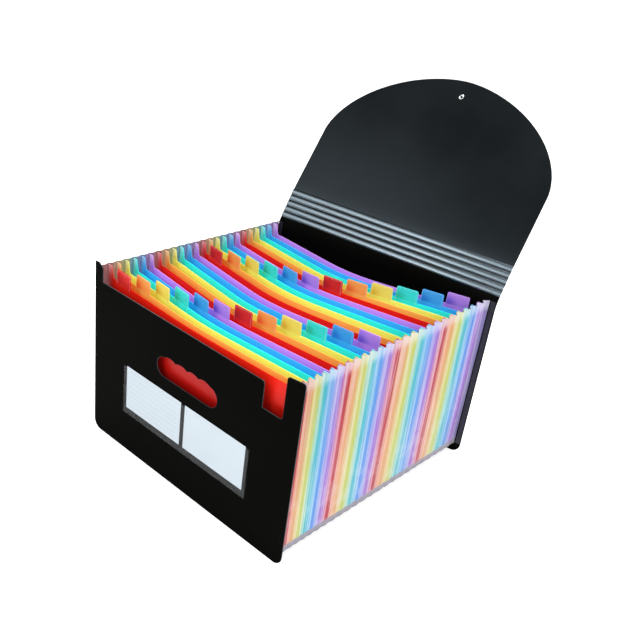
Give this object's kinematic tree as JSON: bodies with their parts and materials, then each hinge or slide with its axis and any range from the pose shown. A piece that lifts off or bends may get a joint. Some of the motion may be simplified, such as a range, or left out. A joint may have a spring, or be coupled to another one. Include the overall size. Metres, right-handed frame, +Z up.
{
  "type": "expanding file folder",
  "caption": "Expanding file folder standing open: stiff covers, clear pleated sides, coloured tabbed dividers, a label pocket and a lid that folds over from the back.",
  "frame": {"origin": "middle of the front cover's bottom edge", "axes": "+X to the right along the front cover, +Y from the front cover to the back cover, +Z up"},
  "size_m": [0.3386, 0.4766, 0.4305],
  "materials": {
    "black_cover": "fine matt grain",
    "grey_lid": "satin, dark blue-grey",
    "clear_film": "frosted, see-through",
    "clear_pocket": "clear, glossy",
    "card": "plain paper card",
    "metal": "bright nickel plate",
    "red_film": "satin translucent sheet",
    "orange_film": "satin translucent sheet",
    "yellow_film": "satin translucent sheet",
    "teal_film": "satin translucent sheet",
    "blue_film": "satin translucent sheet",
    "purple_film": "satin translucent sheet"
  },
  "bodies": {
    "file": {"front_cover": "black_cover", "back_cover": "black_cover", "bellows": "clear_film", "label_pocket": "clear_pocket", "label_card_left": "card", "label_card_right": "card", "divider_01": "red_film", "divider_02": "orange_film", "divider_03": "yellow_film", "divider_04": "teal_film", "divider_05": "blue_film", "divider_06": "purple_film", "divider_07": "red_film", "divider_08": "orange_film", "divider_09": "yellow_film", "divider_10": "teal_film", "divider_11": "blue_film", "divider_12": "purple_film", "divider_13": "red_film", "divider_14": "orange_film", "divider_15": "yellow_film", "divider_16": "teal_film", "divider_17": "blue_film", "divider_18": "purple_film", "divider_19": "red_film", "divider_20": "orange_film", "divider_21": "yellow_film", "divider_22": "teal_film", "divider_23": "blue_film", "divider_24": "purple_film"},
    "lid": {"lid_flap": "grey_lid", "eyelet": "metal"}
  },
  "joints": [
    {"name": "lid_fold", "type": "hinge", "parent": "file", "child": "lid", "pos_m": [0.00151, 0.33288, 0.24788], "axis": [0.9914, 0.1305, 0], "range_deg": [-135, 130]}
  ]
}
